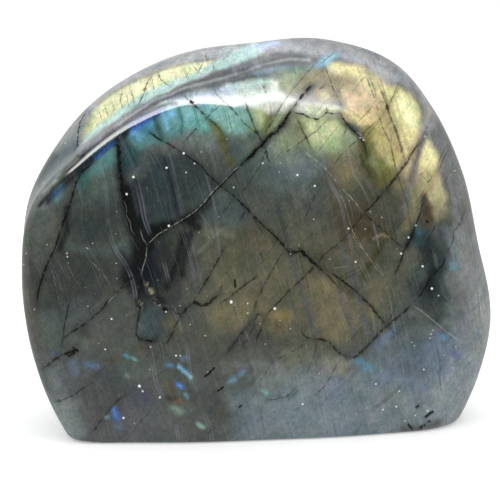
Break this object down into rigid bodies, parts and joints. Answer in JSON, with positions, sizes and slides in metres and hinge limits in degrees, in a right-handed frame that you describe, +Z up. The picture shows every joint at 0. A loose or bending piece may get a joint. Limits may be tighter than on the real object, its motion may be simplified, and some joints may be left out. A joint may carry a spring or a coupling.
{
  "type": "labradorite freeform",
  "caption": "Polished labradorite freeform: a broad rounded stone with a shoulder ridge on its upper left, standing upright on a sawn flat base.",
  "frame": {"origin": "middle of the bounding box in X and Y, on the plane of the sawn base", "axes": "+X along the broad face to the viewer's right, -Y the way the broad face looks, +Z up"},
  "size_m": [0.1118, 0.0493, 0.0927],
  "materials": {
    "polished_labradorite": "polished dark grey-green feldspar with blue, green and gold flashes"
  },
  "bodies": {
    "root": {"labradorite_stone": "polished_labradorite"}
  },
  "joints": []
}
